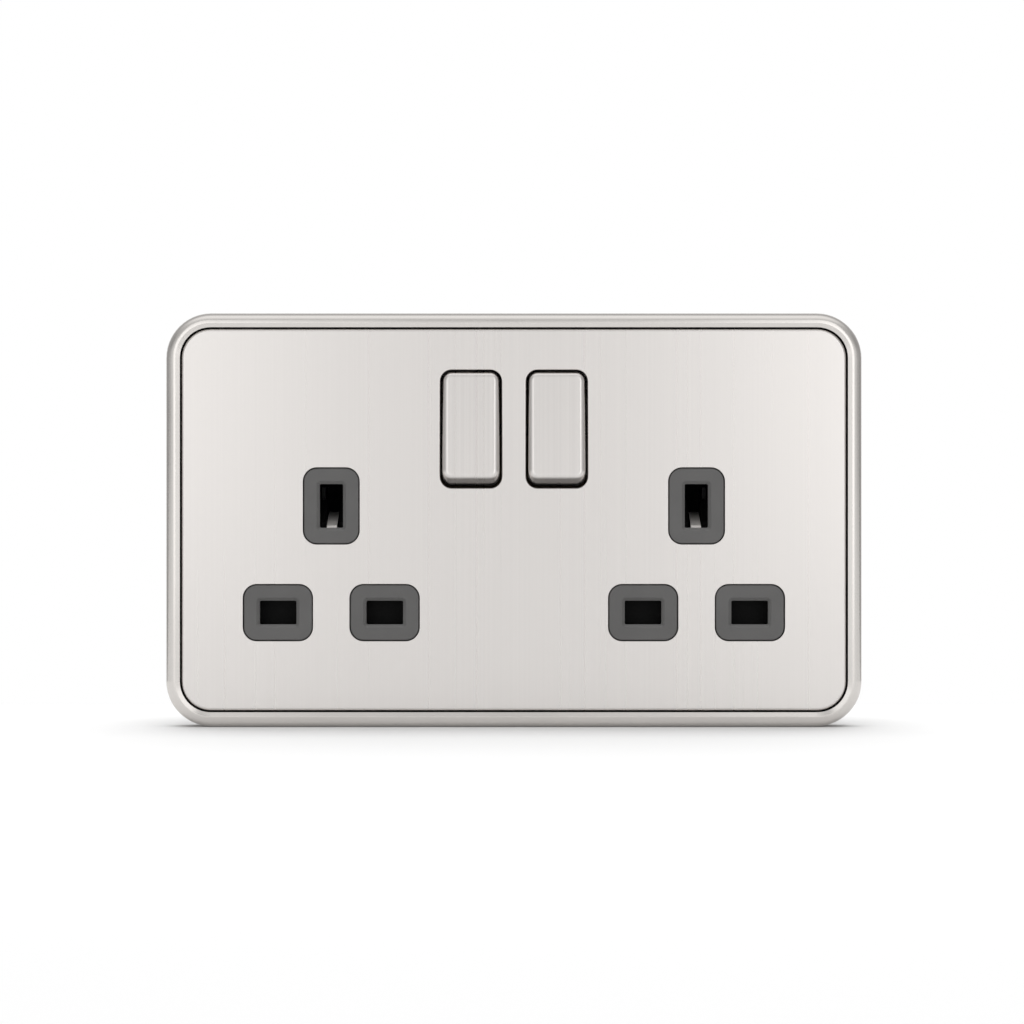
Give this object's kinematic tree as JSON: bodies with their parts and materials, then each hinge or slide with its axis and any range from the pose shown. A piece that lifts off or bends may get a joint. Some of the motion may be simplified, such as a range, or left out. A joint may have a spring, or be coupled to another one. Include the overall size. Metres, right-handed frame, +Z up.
{
  "type": "twin switched socket outlet",
  "caption": "Twin switched mains socket outlet with a rounded metal rim, clip-on brushed steel cover, tipping rockers and shuttered pin holes.",
  "frame": {"origin": "middle of the plate on the wall plane, midway between the box fixing holes", "axes": "+X right seen from the front, +Y into the wall, +Z up; the front faces -Y"},
  "size_m": [0.145, 0.0296, 0.086],
  "materials": {
    "cover_steel": "satin, fine upright grain",
    "rim_steel": "satin",
    "grey_plastic": "fine matt",
    "black_plastic": "matt",
    "white_plastic": "satin moulded",
    "screw_steel": "bright zinc",
    "spring_steel": "drawn wire",
    "contact_brass": "rolled strip"
  },
  "bodies": {
    "base": {"rim_frame": "rim_steel", "front_moulding": "grey_plastic", "rear_housing": "white_plastic", "frame_screws": "screw_steel", "housing_screws": "screw_steel", "terminal_screws": "screw_steel", "live_bar": "contact_brass", "neutral_bar": "contact_brass", "earth_bar": "contact_brass", "terminal_neutral": "contact_brass", "terminal_earth_a": "contact_brass", "terminal_earth_b": "contact_brass", "terminal_live": "contact_brass", "contact_block_left": "black_plastic", "shutter_lid_left": "grey_plastic", "shutter_spring_left": "spring_steel", "earth_clip_left": "spring_steel", "clip_left_neutral": "contact_brass", "clip_left_live": "contact_brass", "socket_insert_left_earth": "grey_plastic", "socket_insert_left_neutral": "grey_plastic", "socket_insert_left_live": "grey_plastic", "contact_block_right": "black_plastic", "shutter_lid_right": "grey_plastic", "shutter_spring_right": "spring_steel", "earth_clip_right": "spring_steel", "clip_right_neutral": "contact_brass", "clip_right_live": "contact_brass", "socket_insert_right_earth": "grey_plastic", "socket_insert_right_neutral": "grey_plastic", "socket_insert_right_live": "grey_plastic"},
    "cover": {"cover_plate": "cover_steel", "cover_carrier": "black_plastic"},
    "rocker_left": {"rocker_cap_left": "cover_steel", "rocker_dolly_left": "black_plastic", "plungers_left": "white_plastic", "plunger_springs_left": "spring_steel"},
    "blade_left_neutral": {"blade_left_neutral": "contact_brass"},
    "blade_left_live": {"blade_left_live": "contact_brass"},
    "shutter_left": {"shutter_left": "black_plastic"},
    "rocker_right": {"rocker_cap_right": "cover_steel", "rocker_dolly_right": "black_plastic", "plungers_right": "white_plastic", "plunger_springs_right": "spring_steel"},
    "blade_right_neutral": {"blade_right_neutral": "contact_brass"},
    "blade_right_live": {"blade_right_live": "contact_brass"},
    "shutter_right": {"shutter_right": "black_plastic"}
  },
  "joints": [
    {"name": "cover_pull", "type": "slide", "parent": "base", "child": "cover", "axis": [0, -1, 0], "range_m": [0, 0.02]},
    {"name": "rocker_left_tip", "type": "hinge", "parent": "base", "child": "rocker_left", "pos_m": [-0.00893, -0.002, 0.0189], "axis": [1, 0, 0], "range_deg": [0, 12]},
    {"name": "blade_left_neutral_rock", "type": "hinge", "parent": "base", "child": "blade_left_neutral", "pos_m": [-0.01173, 0.0083, 0.0189], "axis": [1, 0, 0], "range_deg": [-18, 0]},
    {"name": "blade_left_live_rock", "type": "hinge", "parent": "base", "child": "blade_left_live", "pos_m": [-0.00613, 0.0083, 0.0189], "axis": [1, 0, 0], "range_deg": [-18, 0]},
    {"name": "shutter_left_slide", "type": "slide", "parent": "base", "child": "shutter_left", "axis": [0, 0, -1], "range_m": [0, 0.0055], "stiffness_N_per_m": 200, "springref_m": -0.003, "deforming": ["shutter_spring_left"]},
    {"name": "rocker_right_tip", "type": "hinge", "parent": "base", "child": "rocker_right", "pos_m": [0.00893, -0.002, 0.0189], "axis": [1, 0, 0], "range_deg": [0, 12]},
    {"name": "blade_right_neutral_rock", "type": "hinge", "parent": "base", "child": "blade_right_neutral", "pos_m": [0.00613, 0.0083, 0.0189], "axis": [1, 0, 0], "range_deg": [-18, 0]},
    {"name": "blade_right_live_rock", "type": "hinge", "parent": "base", "child": "blade_right_live", "pos_m": [0.01173, 0.0083, 0.0189], "axis": [1, 0, 0], "range_deg": [-18, 0]},
    {"name": "shutter_right_slide", "type": "slide", "parent": "base", "child": "shutter_right", "axis": [0, 0, -1], "range_m": [0, 0.0055], "stiffness_N_per_m": 200, "springref_m": -0.003, "deforming": ["shutter_spring_right"]}
  ],
  "couplings": [
    {"joint": "blade_left_neutral_rock", "follows": "rocker_left_tip", "ratio": -1.5},
    {"joint": "blade_left_live_rock", "follows": "rocker_left_tip", "ratio": -1.5},
    {"joint": "blade_right_neutral_rock", "follows": "rocker_right_tip", "ratio": -1.5},
    {"joint": "blade_right_live_rock", "follows": "rocker_right_tip", "ratio": -1.5}
  ]
}
